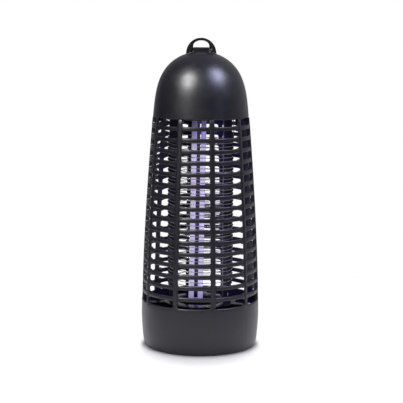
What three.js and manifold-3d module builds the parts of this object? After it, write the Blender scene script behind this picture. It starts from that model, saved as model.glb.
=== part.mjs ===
// Electric insect killer in the form of a lantern: a tapered grille body with a domed cover and a
// hanging loop, and inside it a twin-tube UV lamp, a high-voltage wire grid and a pull-out tray.
// Millimetres, +Z up. The origin is the centre of the footprint, on the surface it stands on.
// The front faces -Y, and every angle is counted in degrees from the front towards +X.

import * as THREE from 'three';
import { mergeVertices } from 'three/addons/utils/BufferGeometryUtils.js';
import Module from 'manifold-3d';

const wasm = await Module();
wasm.setup();

// ---- driving dimensions ------------------------------------------------------------------------

const gap = 0.3; // clearance between neighbouring pieces
const wall = 2.4; // thickness of the moulded skins

// Body skin: a drum that widens to its shoulder, then a long taper under an egg-shaped dome
const shoulderRadius = 65;
const shoulderHeight = 38;
const footRadius = 62;
const taperLoss = 11.5;
const taperSpan = 210;
const taperPower = 1.55;
const domeStart = 250;
const domeTop = 324.2;
const domePower = 3.8;

// Grille: rows of windows between rings, split into bays by upright ribs
const drumTop = 52;
const windowHeight = 7.9;
const ringHeight = 4.2;
const ringCount = 16;
const ringRecess = 0.7;
const ringDepth = 3.5;
const ringStep = 18; // ring facets, in degrees
const ribWidth = 5.4;
const wideRibWidth = 16; // the one broad rib, at the back on the right
const backRibWidth = 7.2; // its opposite number, at the back on the left
const ribDepth = ringRecess + ringDepth;
const grilleTurn = -6; // the grille is turned this far from the front
const sideRib = 90;
const backRib = 124.6;
const halfRibs = [18.3, 55.4, sideRib, backRib, 161.7];
const ribAngles = [...halfRibs, ...halfRibs.map((angle) => -angle)];
const grilleTop = drumTop + ringCount * ringHeight + (ringCount + 1) * windowHeight;

// Collar that the dome slips over, and the deck plate that hangs the works from the dome
const collarOuter = 48.6;
const collarInner = 45.6;
const collarTop = 260;
const lugAngles = [45, 135, 225, 315];
const lugRadius = 41;
const lugThickness = 3;
const lugWidth = 9;
const lugLength = 11;
const deckBottom = collarTop + gap;
const deckThickness = 2.6;
const deckRadius = 47.8;

// High-voltage grid: two wires wound side by side on three comb posts
const gridRadius = 35.2;
const wireThickness = 0.9;
const wirePitch = 7.8;
const gridBottom = 66;
const gridTop = 231;
const postAngles = [98, 188, 278];
const postOuter = 32.6;
const postDepth = 7.4;
const postWidth = 6;

// Spider that ties the posts together at the bottom
const spiderBottom = 46;
const spiderThickness = 3;
const spiderHub = 26.5;
const spiderRim = 40;
const armWidth = 9;
const bossAngles = [72.7, 180, 287.3].map((angle) => angle + grilleTurn);
const bossRadius = 58;
const bossHeight = 7;

// Lamp: two parallel glass tubes joined by a thin bridge, hanging slightly out of plumb
const tubeRadius = 2.9;
const tubeSpacing = 10.1;
const lampX = -1.5;
const lampLean = 0.95;
const lampLength = 201.9;
const bridgeRadius = 1.5;
const bridgeRise = 2.6; // height of the bridge over the tubes' ends
const lampTop = 257.5;
const capWidth = 16.4;
const capDepth = 7.4;
const capHeight = 7;
const tubeEntry = 3; // depth of the tubes' ends in the cap

// Hanging loop
const pivotHeight = 326.2;
const loopRadius = 16.3;
const loopTop = 338.8;
const eyeRadius = 2.4;
const footClearance = 0.4; // between the loop's feet and the dome
const footSpread = 17.4;
const knuckleHalf = 8.3;
const pinRadius = 1;
const pinLength = 29;

// Tray
const skirtBottom = 0.8;
const footInner = 50;
const footOuter = 57;
const plateThickness = 1.8;
const trayRadius = 58.2;
const trayHeight = 36;
const trayWall = 1.6;

// Power switch and cord inlet at the back
const switchHeight = 286;
const inletHeight = 268;
const inletRadius = 4.3;

// Circuit on the deck plate
const boardThickness = 1.6;
const boardWidth = 52;
const boardDepth = 38;
const boardY = -6;
const standOff = 4;
const transformerX = -15.5;
const partsY = -16;
const coreHeight = 15;
const coreLimb = 6.2;
const filmCapacitors = [-2, 5, 12];
const filterCapacitorX = 20.6;

const screwRadius = 1.4;
const headRadius = 2.6;
const headHeight = 1.8;

// ---- body skin ---------------------------------------------------------------------------------

function skinRadius(height) {
  if (height < shoulderHeight) {
    const below = 1 - height / shoulderHeight;
    return shoulderRadius - (shoulderRadius - footRadius) * below * below;
  }
  const along = (height - shoulderHeight) / taperSpan;
  return shoulderRadius - taperLoss * along ** taperPower;
}

// Outline of the dome from rim to crown, sunk under the skin by an inset
function domeOutline(inset, steps) {
  const top = domeTop - Math.max(0, inset - ringRecess);
  const outline = [[skinRadius(grilleTop) - inset, grilleTop]];
  for (let i = 1; i <= steps; i += 1) {
    const phase = (i / steps) * (Math.PI / 2);
    const height = domeStart + (top - domeStart) * Math.sin(phase) ** (2 / domePower);
    const shrink = Math.cos(phase);
    outline.push([i === steps ? 0 : (skinRadius(height) - inset) * shrink, height]);
  }
  return outline;
}

// ---- geometry helpers --------------------------------------------------------------------------

// A closed outline of [radius, height] pairs spun about the upright axis
function spin(outline, segments) {
  const points = outline.map(([radius, height]) => new THREE.Vector2(radius, height));
  const geometry = new THREE.LatheGeometry(points, segments);
  geometry.rotateX(Math.PI / 2);
  return geometry;
}

function ring(inner, outer, bottom, top, segments) {
  return spin(
    [[inner, bottom], [outer, bottom], [outer, top], [inner, top], [inner, bottom]],
    segments,
  );
}

function disc(radius, bottom, top, segments) {
  return spin([[0, bottom], [radius, bottom], [radius, top], [0, top]], segments);
}

function box(width, depth, height, x, y, z) {
  const geometry = new THREE.BoxGeometry(width, depth, height);
  geometry.translate(x, y, z);
  return geometry;
}

// Upright cylinder standing on a height
function rod(radius, bottom, top, x, y, sides = 12) {
  const geometry = disc(radius, bottom, top, sides);
  geometry.translate(x, y, 0);
  return geometry;
}

// Cylinder along X, centred on a point
function crossRod(radius, length, x, y, z, sides = 16) {
  const geometry = new THREE.CylinderGeometry(radius, radius, length, sides);
  geometry.rotateZ(Math.PI / 2);
  geometry.translate(x, y, z);
  return geometry;
}

// Moves a piece made on the +X side round to an angle counted from the front
function turn(geometry, angle) {
  geometry.rotateZ(THREE.MathUtils.degToRad(angle - 90));
  return geometry;
}

// A flat outline in the radius-height plane, given a width and set at an angle
function fin(outline, width, angle) {
  const points = outline.map(([radius, height]) => new THREE.Vector2(radius, height));
  const shape = new THREE.Shape(points);
  const geometry = new THREE.ExtrudeGeometry(shape, { depth: width, bevelEnabled: false });
  geometry.translate(0, 0, -width / 2);
  geometry.rotateX(Math.PI / 2);
  return turn(geometry, angle);
}

// A closed body skinned over a stack of outlines of [x, y] pairs, one outline at each height
function loft(outlines, heights) {
  const count = outlines[0].length;
  const positions = outlines.flatMap((outline, level) => (
    outline.flatMap(([x, y]) => [x, y, heights[level]])
  ));
  const index = [];
  const last = (outlines.length - 1) * count;
  for (let start = 0; start < last; start += count) {
    for (let i = 0; i < count; i += 1) {
      const a = start + i;
      const b = start + ((i + 1) % count);
      index.push(a, b, b + count, a, b + count, a + count);
    }
  }
  for (let i = 1; i + 1 < count; i += 1) {
    index.push(0, i + 1, i, last, last + i, last + i + 1);
  }
  const geometry = new THREE.BufferGeometry();
  geometry.setAttribute('position', new THREE.Float32BufferAttribute(positions, 3));
  geometry.setIndex(index);
  return geometry;
}

// Round or square bar along a curve
function bar(curve, steps, radius, sides) {
  const section = new THREE.Shape();
  for (let i = 0; i < sides; i += 1) {
    const phase = (i / sides) * 2 * Math.PI;
    const x = radius * Math.cos(phase);
    const y = radius * Math.sin(phase);
    if (i === 0) {
      section.moveTo(x, y);
    } else {
      section.lineTo(x, y);
    }
  }
  section.closePath();
  return new THREE.ExtrudeGeometry(section, { steps, extrudePath: curve, bevelEnabled: false });
}

function place(radius, angle) {
  const phase = THREE.MathUtils.degToRad(angle);
  return [radius * Math.sin(phase), -radius * Math.cos(phase)];
}

// Keeps only positions, merges shared vertices and drops the empty triangles at the poles
function bare(geometry) {
  const copy = geometry.clone();
  for (const name of Object.keys(copy.attributes)) {
    if (name !== 'position') {
      copy.deleteAttribute(name);
    }
  }
  const merged = mergeVertices(copy, 1e-4);
  const index = merged.index.array;
  const kept = [];
  for (let i = 0; i < index.length; i += 3) {
    const [a, b, c] = [index[i], index[i + 1], index[i + 2]];
    if (a !== b && b !== c && c !== a) {
      kept.push(a, b, c);
    }
  }
  merged.setIndex(kept);
  return merged;
}

function solid(geometry) {
  const merged = bare(geometry);
  return new wasm.Manifold(new wasm.Mesh({
    numProp: 3,
    vertProperties: new Float32Array(merged.attributes.position.array),
    triVerts: new Uint32Array(merged.index.array),
  }));
}

function shell(body) {
  const mesh = body.getMesh();
  const geometry = new THREE.BufferGeometry();
  geometry.setAttribute('position', new THREE.BufferAttribute(mesh.vertProperties, 3));
  geometry.setIndex(new THREE.BufferAttribute(mesh.triVerts, 1));
  return geometry;
}

function join(geometries) {
  return geometries.map(solid).reduce((sum, next) => sum.add(next));
}

// Joins the pieces, then cuts the tools out of them
function carve(pieces, tools) {
  return shell(tools.map(solid).reduce((rest, tool) => rest.subtract(tool), join(pieces)));
}

// ---- materials ---------------------------------------------------------------------------------

function finish(color, roughness, metalness = 0) {
  return new THREE.MeshStandardMaterial({ color, roughness, metalness });
}

const charcoal = finish(0x2b2b32, 0.42);
const blackPlastic = finish(0x141417, 0.5);
const glass = finish(0xcfc4ff, 0.15);
const steel = finish(0xb4b6ba, 0.3, 1);
const boardGreen = finish(0x1d5a38, 0.55);
const ferrite = finish(0x37363a, 0.7);
const copper = finish(0xb3642c, 0.35, 1);
const film = finish(0x8a3325, 0.4);
const whitePlastic = finish(0xd9d8d2, 0.5);

const zapper = new THREE.Group();

function add(name, geometry, material, parent = zapper) {
  const mesh = new THREE.Mesh(bare(geometry), material);
  mesh.name = name;
  parent.add(mesh);
  return mesh;
}

// ---- grille body -------------------------------------------------------------------------------

const skinSegments = 40;

function drumOutline() {
  const edge = 2.2; // rounding of the bottom edge
  const outline = [];
  for (let i = 0; i <= 3; i += 1) {
    const phase = (i / 3) * (Math.PI / 2);
    const height = skirtBottom + edge * (1 - Math.cos(phase));
    outline.push([skinRadius(skirtBottom) - edge * (1 - Math.sin(phase)), height]);
  }
  for (const height of [12, 24, shoulderHeight, drumTop]) {
    outline.push([skinRadius(height), height]);
  }
  for (const height of [drumTop, shoulderHeight, 16, skirtBottom]) {
    outline.push([skinRadius(height) - wall, height]);
  }
  outline.push(outline[0]);
  return outline;
}

// Corners of a rib's section. Its sides run along the mould's draw, so only a side rib's are radial.
function ribOutline(angle, outer, inner) {
  const width = { [backRib]: wideRibWidth, [-backRib]: backRibWidth }[angle] ?? ribWidth;
  const half = THREE.MathUtils.radToDeg(width / 2 / outer);
  const outerCorners = [-half, half].map((step) => place(outer, angle + step));
  const innerCorners = outerCorners.map(([x, y]) => (
    Math.abs(angle) === sideRib
      ? [(x * inner) / outer, y]
      : [x, Math.sign(y) * Math.sqrt(inner ** 2 - x ** 2)]
  ));
  return [...outerCorners, ...innerCorners.reverse()];
}

function rib(angle) {
  const steps = 6;
  const sink = 1; // how far the foot sinks under the drum's skin
  const foot = drumTop - 3;
  const heights = [foot];
  const outlines = [ribOutline(angle, skinRadius(foot) - sink, skinRadius(foot) - ribDepth)];
  for (let i = 0; i < steps; i += 1) {
    const height = drumTop + ((grilleTop - gap - drumTop) * i) / (steps - 1);
    heights.push(height);
    outlines.push(ribOutline(angle, skinRadius(height), skinRadius(height) - ribDepth));
  }
  return loft(outlines, heights);
}

// Gusset that ties the top of a rib to the collar inside the dome
function ribTongue(angle) {
  const reach = collarOuter + 1;
  const outward = Math.sin(THREE.MathUtils.degToRad(angle)) * skinRadius(grilleTop) / reach;
  const lean = THREE.MathUtils.radToDeg(Math.asin(Math.max(-1, Math.min(1, outward))));
  const side = Math.abs(angle) > sideRib ? 180 * Math.sign(angle) - lean : lean;
  const outline = [
    [collarInner + gap, grilleTop - 4],
    [reach + 1, grilleTop - 4],
    [reach + 1, grilleTop - gap],
    [collarOuter - gap, grilleTop - gap],
    [collarOuter - gap, collarTop - 1],
    [collarInner + gap, collarTop - 1],
  ];
  return fin(outline, ribWidth - 1, Math.abs(angle) === sideRib ? angle : side);
}

function grilleRing(index) {
  const bottom = drumTop + windowHeight + index * (windowHeight + ringHeight);
  const radius = skinRadius(bottom + ringHeight / 2) - ringRecess;
  return ring(radius - ringDepth, radius, bottom, bottom + ringHeight, 360 / ringStep);
}

function lug(angle) {
  const plate = box(lugLength, lugWidth, lugThickness, lugRadius + 1, 0, collarTop - lugThickness / 2);
  return turn(plate, angle);
}

function spiderBoss(angle) {
  const inner = bossRadius - 4.2;
  const length = shoulderRadius - wall / 2 - inner;
  const middle = spiderBottom - gap - bossHeight / 2;
  return turn(box(length, armWidth - 1, bossHeight, inner + length / 2, 0, middle), angle);
}

function outerCage() {
  const grille = ribAngles.flatMap((angle) => [rib(angle), ribTongue(angle)]);
  for (let i = 0; i < ringCount; i += 1) {
    grille.push(grilleRing(i));
  }
  for (const piece of grille) {
    piece.rotateZ(THREE.MathUtils.degToRad(grilleTurn));
  }
  const pieces = [
    spin(drumOutline(), skinSegments),
    ...grille,
    ring(collarInner, collarOuter, grilleTop - 1.2, collarTop, skinSegments),
    ...lugAngles.map(lug),
    ...bossAngles.map(spiderBoss),
  ];
  const holes = lugAngles.map((angle) => {
    const [x, y] = place(lugRadius, angle);
    return rod(screwRadius + gap, collarTop - 10, collarTop + 5, x, y);
  });
  const pilotHoles = bossAngles.map((angle) => {
    const [x, y] = place(bossRadius, angle);
    return rod(screwRadius + gap, spiderBottom - 9, spiderBottom + 5, x, y);
  });
  return carve(pieces, [...holes, ...pilotHoles]);
}

add('outer_cage', outerCage(), charcoal);

// ---- domed cover -------------------------------------------------------------------------------

// The skin's lean at a height, in radians from upright
function skinLean(height) {
  const outline = domeOutline(ringRecess, 90);
  const upper = outline.findIndex(([, z]) => z > height);
  const [r0, z0] = outline[upper - 1];
  const [r1, z1] = outline[upper];
  const radius = r0 + ((r1 - r0) * (height - z0)) / (z1 - z0);
  return { lean: Math.atan2(r0 - r1, z1 - z0), radius };
}

const switchSeat = skinLean(switchHeight);
const inletSeat = skinLean(inletHeight);

// Moves a piece made round the origin with its face towards +Y onto the back of the dome
function seat(geometry, place3, height) {
  geometry.rotateX(place3.lean);
  geometry.translate(0, place3.radius, height);
  return geometry;
}

function coverBoss(angle) {
  const [x, y] = place(lugRadius, angle);
  return rod(4.2, deckBottom + deckThickness + gap, 296, x, y);
}

function knuckle() {
  const half = knuckleHalf;
  const round = crossRod(eyeRadius, 2 * half, 0, 0, pivotHeight);
  const stem = box(2 * half, 2 * eyeRadius + 1.6, 4.4, 0, 0, pivotHeight - 2.2);
  return [round, stem];
}

function topCover() {
  const inner = domeOutline(ringRecess + wall, 9).reverse();
  const outer = domeOutline(ringRecess, 9);
  const dome = solid(spin([...inner, ...outer], skinSegments));
  const envelope = solid(spin([[0, grilleTop], ...outer], skinSegments));
  const bosses = join(lugAngles.map(coverBoss)).intersect(envelope);
  const moulding = knuckle().map(solid).reduce((sum, next) => sum.add(next), dome.add(bosses));
  const tools = lugAngles.map((angle) => {
    const [x, y] = place(lugRadius, angle);
    return rod(screwRadius + gap, deckBottom, deckBottom + 14, x, y);
  });
  tools.push(crossRod(pinRadius + gap, 4 * knuckleHalf, 0, 0, pivotHeight));
  tools.push(seat(box(9.6, 20, 14.6, 0, 0, 0), switchSeat, switchHeight));
  const bore = new THREE.CylinderGeometry(inletRadius, inletRadius, 16, 20);
  tools.push(seat(bore, inletSeat, inletHeight));
  return shell(tools.map(solid).reduce((rest, tool) => rest.subtract(tool), moulding));
}

add('top_cover', topCover(), charcoal);

// ---- hanging loop and its pin ------------------------------------------------------------------

function loopShape() {
  const inner = knuckleHalf + gap;
  const centre = loopTop - loopRadius;
  const foot = pivotHeight - footReach(footSpread) - 1;
  const ankle = pivotHeight - eyeRadius;
  const outerAnkle = Math.sqrt(loopRadius ** 2 - (ankle - centre) ** 2);
  const startAngle = Math.atan2(ankle - centre, outerAnkle);
  const archCentre = 330;
  const archHeight = 6;
  const shape = new THREE.Shape();
  shape.moveTo(inner, foot);
  shape.lineTo(footSpread, foot);
  shape.lineTo(outerAnkle, ankle);
  shape.absarc(0, centre, loopRadius, startAngle, Math.PI - startAngle, false);
  shape.lineTo(-footSpread, foot);
  shape.lineTo(-inner, foot);
  shape.lineTo(-inner, archCentre);
  shape.absellipse(0, archCentre, inner, archHeight, Math.PI, 0, true);
  shape.lineTo(inner, foot);
  return shape;
}

// How far a foot may reach round the pivot, at a distance from the axis, before it meets the dome
function footReach(distance) {
  const outline = domeOutline(ringRecess, 90);
  const past = outline.findIndex(([radius]) => radius < distance);
  const [r0, z0] = outline[past - 1];
  const [r1, z1] = outline[past];
  const crown = z0 + ((z1 - z0) * (r0 - distance)) / (r0 - r1);
  return pivotHeight - crown - footClearance;
}

// One foot, turned round the pivot so that it skims the dome as the loop folds
function turnedFoot(side) {
  const start = knuckleHalf - 1;
  const steps = 5;
  const outline = [[0, start]];
  for (let k = 0; k <= steps; k += 1) {
    const distance = start + ((footSpread - start) * k) / steps;
    outline.push([footReach(distance), distance]);
  }
  outline.push([0, footSpread]);
  return spin(outline, 20).rotateY((side * Math.PI) / 2).translate(0, 0, pivotHeight);
}

function hangingLoop() {
  const depth = 2 * eyeRadius;
  const plate = new THREE.ExtrudeGeometry(loopShape(), { depth, bevelEnabled: false, curveSegments: 14 });
  plate.translate(0, 0, -depth / 2);
  plate.rotateX(Math.PI / 2);
  // Round feet: keep only what is above the pivot, or inside a turned shape that clears the dome
  const above = box(60, 60, 40, 0, 0, pivotHeight + 20);
  const rounded = solid(plate).intersect(join([above, turnedFoot(-1), turnedFoot(1)]));
  return shell(rounded.subtract(solid(crossRod(pinRadius + gap, 60, 0, 0, pivotHeight))));
}

add('hanging_loop', hangingLoop(), blackPlastic);
add('loop_pin', crossRod(pinRadius, pinLength, 0, 0, pivotHeight, 12), steel);

// ---- rocker switch and cord inlet --------------------------------------------------------------

const rockerSwing = 10; // lean of the rocker to either side, in degrees

function switchHousing() {
  const pieces = [box(9, 12, 14, 0, -5, 0), box(12, 1.4, 17.6, 0, 1.4, 0)];
  const well = box(6.6, 9, 11.4, 0, 0, 0);
  return seat(carve(pieces, [well]), switchSeat, switchHeight);
}

function switchRocker() {
  const shape = new THREE.Shape();
  const half = 5;
  shape.moveTo(-half, 1.6);
  shape.quadraticCurveTo(0, 0.2, half, 1.6);
  shape.lineTo(half - 0.5, -1.2);
  shape.lineTo(-half + 0.5, -1.2);
  shape.closePath();
  const width = 6;
  const rocker = new THREE.ExtrudeGeometry(shape, { depth: width, bevelEnabled: false, curveSegments: 6 });
  rocker.translate(0, 0, -width / 2);
  rocker.rotateY(Math.PI / 2);
  return rocker;
}

function cordInlet() {
  const outline = [[2.6, -5], [4, -5], [4, 0.4], [6, 0.4], [5, 3], [3.6, 4], [2.6, 4], [2.6, -5]];
  const bush = spin(outline, 20);
  bush.rotateX(-Math.PI / 2);
  return seat(bush, inletSeat, inletHeight);
}

add('switch_housing', switchHousing(), blackPlastic);
add('cord_inlet', cordInlet(), blackPlastic);

// The rocker sits in its own turned group so that its lean reads as the "on" side pressed in
const rockerSeat = new THREE.Group();
rockerSeat.position.set(0, switchSeat.radius + 1.2, switchHeight);
rockerSeat.rotation.x = switchSeat.lean + THREE.MathUtils.degToRad(rockerSwing);
zapper.add(rockerSeat);
add('switch_rocker', switchRocker(), blackPlastic, rockerSeat);

// ---- deck plate, screws and circuit ------------------------------------------------------------

const deckTop = deckBottom + deckThickness;

// A pan-head screw standing on end, its head above or below the shank
function screw([x, y], bottom, top, headAtTop) {
  const head = headAtTop
    ? rod(headRadius, top, top + headHeight, x, y)
    : rod(headRadius, bottom - headHeight, bottom, x, y);
  return shell(join([rod(screwRadius, bottom, top, x, y), head]));
}

function addScrews(name, spots, bottom, top, headAtTop) {
  spots.forEach((spot, i) => {
    add(`${name}_${i + 1}`, screw(spot, bottom, top, headAtTop), steel);
  });
}

function deckPlate() {
  const lamp = box(30, 12, 20, lampX, 0, deckBottom);
  const posts = postAngles.map((angle) => {
    const [x, y] = place(postOuter - postDepth / 2, angle);
    return rod(screwRadius + gap, deckBottom - 5, deckTop + 5, x, y);
  });
  const covers = lugAngles.map((angle) => {
    const [x, y] = place(lugRadius, angle);
    return rod(screwRadius + gap, deckBottom - 5, deckTop + 5, x, y);
  });
  return carve([disc(deckRadius, deckBottom, deckTop, skinSegments)], [lamp, ...posts, ...covers]);
}

add('deck_plate', deckPlate(), blackPlastic);

const lugSpots = lugAngles.map((angle) => place(lugRadius, angle));
addScrews('cover_screw', lugSpots, collarTop - lugThickness - gap, deckBottom + 12, false);

const boardBottom = deckTop + standOff;
const boardTop = boardBottom + boardThickness;

function circuitBoard() {
  const board = box(boardWidth, boardDepth, boardThickness, 0, boardY, boardBottom + boardThickness / 2);
  const corners = [-22, 22].flatMap((x) => (
    [-21, 10].map((y) => rod(2.4, deckTop + gap, boardBottom, x, y))
  ));
  const lampCutout = box(22, 14, 10, lampX, 0, boardBottom);
  return carve([board, ...corners], [lampCutout]);
}

add('circuit_board', circuitBoard(), boardGreen);

const partBottom = boardTop + gap;
const coreMiddle = partBottom + coreHeight / 2;

// A ferrite core of two E halves round one winding
function transformerCore() {
  const frame = box(18, coreHeight, coreHeight, transformerX, partsY, coreMiddle);
  const windows = [-1, 1].map((side) => box(3.6, 20, 9.4, transformerX + side * 4.9, partsY, coreMiddle));
  return carve([frame], windows);
}

function transformerCoil() {
  const winding = box(12.8, coreHeight + 3, 8.8, transformerX, partsY, coreMiddle);
  const hole = box(coreLimb + 2 * gap, coreHeight + 2 * gap, 15.4, transformerX, partsY, coreMiddle);
  return carve([winding], [hole]);
}

add('transformer_core', transformerCore(), ferrite);
add('transformer_coil', transformerCoil(), copper);
filmCapacitors.forEach((x, i) => {
  add(`film_capacitor_${i + 1}`, box(5.4, 12, 10, x, partsY - 1, partBottom + 5), film);
});
add('filter_capacitor', rod(5, partBottom, partBottom + 17, filterCapacitorX, partsY, 16), blackPlastic);

// ---- lamp --------------------------------------------------------------------------------------

function lampSocket() {
  const flange = box(28, 16, 2, lampX, 0, deckBottom - gap - 1);
  const body = box(20, 11, 14, lampX, 0, deckBottom + 5);
  const mouth = box(capWidth + 1, capDepth + 1, 4, lampX, 0, deckBottom - 3);
  return carve([flange, body], [mouth]);
}

add('lamp_socket', lampSocket(), whitePlastic);

const lamp = new THREE.Group();
lamp.position.set(lampX, 0, lampTop);
lamp.rotation.y = THREE.MathUtils.degToRad(lampLean);
zapper.add(lamp);

const capBottom = -capHeight;

function lampCap() {
  const plug = box(capWidth, capDepth, capHeight, 0, 0, -capHeight / 2);
  const wells = [-1, 1].map((side) => (
    rod(tubeRadius + gap, capBottom - 1, capBottom + tubeEntry, (side * tubeSpacing) / 2, 0, 14)
  ));
  return carve([plug], wells);
}

// Two straight tubes with round ends, joined near the ends by a thin glass bridge
function lampGlass() {
  const half = tubeSpacing / 2;
  const top = capBottom + tubeEntry - gap;
  const end = capBottom - lampLength;
  const outline = [
    [0, end],
    [tubeRadius * 0.6, end + tubeRadius * 0.2],
    [tubeRadius, end + tubeRadius],
    [tubeRadius, top],
    [0, top],
  ];
  const limbs = [-1, 1].map((side) => spin(outline, 14).translate(side * half, 0, 0));
  const bridge = crossRod(bridgeRadius, tubeSpacing, 0, 0, end + bridgeRise, 10);
  return shell(join([...limbs, bridge]));
}

add('lamp_cap', lampCap(), whitePlastic, lamp);
add('uv_lamp', lampGlass(), glass, lamp);

// ---- high-voltage grid -------------------------------------------------------------------------

const turnsOfWire = (gridTop - gridBottom) / wirePitch - 0.5;

// One wire of the pair, started at its own angle so that the two run midway between each other
class GridHelix extends THREE.Curve {
  constructor(start) {
    super();
    this.start = start;
  }

  getPoint(t, target = new THREE.Vector3()) {
    const phase = THREE.MathUtils.degToRad(this.start) + t * turnsOfWire * 2 * Math.PI;
    const height = gridTop - t * turnsOfWire * wirePitch;
    return target.set(gridRadius * Math.sin(phase), -gridRadius * Math.cos(phase), height);
  }

  getPointAt(t, target) {
    return this.getPoint(t, target);
  }
}

function gridWire(start) {
  const stepsPerTurn = 10;
  return bar(new GridHelix(start), Math.round(turnsOfWire * stepsPerTurn), wireThickness / 2, 4);
}

add('grid_wire_live', gridWire(0), steel);
add('grid_wire_return', gridWire(180), steel);

const spiderTop = spiderBottom + spiderThickness;

function gridPost(angle) {
  const bottom = spiderTop + gap;
  const top = deckBottom - gap;
  const centre = postOuter - postDepth / 2;
  const post = turn(box(postDepth, postWidth, top - bottom, centre, 0, (top + bottom) / 2), angle);
  const [x, y] = place(centre, angle);
  const pilots = [[bottom - 2, bottom + 9], [top - 9, top + 2]].map(([from, to]) => (
    rod(screwRadius + gap, from, to, x, y)
  ));
  return carve([post], pilots);
}

['right', 'rear', 'left'].forEach((side, i) => {
  add(`grid_post_${side}`, gridPost(postAngles[i]), blackPlastic);
});

const postSpots = postAngles.map((angle) => place(postOuter - postDepth / 2, angle));
addScrews('post_screw_top', postSpots, deckBottom - 8, deckTop + gap, true);
addScrews('post_screw_bottom', postSpots, spiderBottom - gap, spiderTop + 8, false);

// Leads that feed the two wires: one from above, one from the bottom end
function gridLead(angle, from, to) {
  const [x, y] = place(gridRadius + 2.4, angle);
  const [topX, topY] = place(gridRadius + 0.6, angle + 4);
  const curve = new THREE.CatmullRomCurve3([
    new THREE.Vector3(x, y, from),
    new THREE.Vector3(x, y, from + (to - from) * 0.4),
    new THREE.Vector3((x + topX) / 2, (y + topY) / 2, from + (to - from) * 0.75),
    new THREE.Vector3(topX, topY, to),
  ]);
  return bar(curve, 8, wireThickness / 2, 6);
}

add('grid_lead_live', gridLead(72, gridTop - 3, deckBottom - gap), steel);
add('grid_lead_return', gridLead(54, gridBottom - 4, spiderTop + gap), steel);

// ---- spider ------------------------------------------------------------------------------------

function gridSpider() {
  const hub = ring(spiderHub, spiderRim, spiderBottom, spiderTop, skinSegments);
  const arms = bossAngles.map((angle) => {
    const outer = skinRadius(spiderBottom) - wall - 0.8;
    const inner = spiderRim - 2;
    const middle = (spiderBottom + spiderTop) / 2;
    return turn(box(outer - inner, armWidth, spiderThickness, (outer + inner) / 2, 0, middle), angle);
  });
  const spots = [...postSpots, ...bossAngles.map((angle) => place(bossRadius, angle))];
  const holes = spots.map(([x, y]) => rod(screwRadius + gap, spiderBottom - 5, spiderTop + 5, x, y));
  return carve([hub, ...arms], holes);
}

add('grid_spider', gridSpider(), blackPlastic);

const bossSpots = bossAngles.map((angle) => place(bossRadius, angle));
addScrews('spider_screw', bossSpots, spiderBottom - 6, spiderTop + gap, true);

// ---- tray --------------------------------------------------------------------------------------

// A cup with a broad base plate that closes the drum, and a low foot rim under it
function collectionTray() {
  const plateRadius = skinRadius(skirtBottom) - wall - gap;
  const floor = skirtBottom + plateThickness;
  return spin([
    [0, skirtBottom],
    [footInner, skirtBottom],
    [footInner, 0],
    [footOuter, 0],
    [footOuter, skirtBottom],
    [plateRadius, skirtBottom],
    [plateRadius, floor],
    [trayRadius, floor],
    [trayRadius, trayHeight],
    [trayRadius - trayWall, trayHeight],
    [trayRadius - trayWall - 2, floor + 3],
    [trayRadius - trayWall - 5, floor],
    [0, floor],
  ], skinSegments);
}

add('collection_tray', collectionTray(), charcoal);

export default zapper;
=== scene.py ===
"""Looks of the electric insect killer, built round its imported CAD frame.

Metres, +Z up, the front faces -Y. Angles are degrees counted from the front towards +X.
"""
import math

import bmesh
import bpy
from mathutils import Matrix, Vector


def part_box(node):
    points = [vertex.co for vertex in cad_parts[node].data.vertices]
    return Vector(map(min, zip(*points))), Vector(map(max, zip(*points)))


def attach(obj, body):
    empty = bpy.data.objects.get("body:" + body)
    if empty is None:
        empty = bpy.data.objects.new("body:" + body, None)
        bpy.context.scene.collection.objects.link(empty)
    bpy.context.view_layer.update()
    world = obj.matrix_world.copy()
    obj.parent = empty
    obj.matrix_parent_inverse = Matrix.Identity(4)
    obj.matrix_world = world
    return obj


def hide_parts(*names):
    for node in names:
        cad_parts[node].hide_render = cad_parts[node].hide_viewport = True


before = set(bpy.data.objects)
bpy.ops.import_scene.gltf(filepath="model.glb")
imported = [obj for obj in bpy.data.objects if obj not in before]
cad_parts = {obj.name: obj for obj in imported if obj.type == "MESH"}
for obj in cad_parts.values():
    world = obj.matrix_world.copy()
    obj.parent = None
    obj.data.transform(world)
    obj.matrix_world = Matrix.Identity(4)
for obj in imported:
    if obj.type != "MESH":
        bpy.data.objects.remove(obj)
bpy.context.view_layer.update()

MM = 0.001
LANTERN, LOOP, ROCKER, TRAY = "lantern", "loop", "rocker", "tray"

# ---- driving dimensions, in metres --------------------------------------------------------------

CAGE_LOW, CAGE_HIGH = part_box("outer_cage")
DOME_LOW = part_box("top_cover")[0]
LOOP_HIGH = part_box("hanging_loop")[1]
WIRE_LOW, WIRE_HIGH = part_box("grid_wire_live")

# The skin widens from the foot to the shoulder and tapers from there. The dome is a superellipse on it.
SHOULDER_RADIUS = CAGE_HIGH[0]
SHOULDER_HEIGHT = 38 * MM
FOOT_RADIUS = SHOULDER_RADIUS - 3 * MM
TAPER_LOSS = 11.5 * MM
TAPER_SPAN = 210 * MM
TAPER_POWER = 1.55
DOME_START = 250 * MM
DOME_TOP = 324.2 * MM
DOME_POWER = 3.8
WALL = 2.4 * MM

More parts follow.
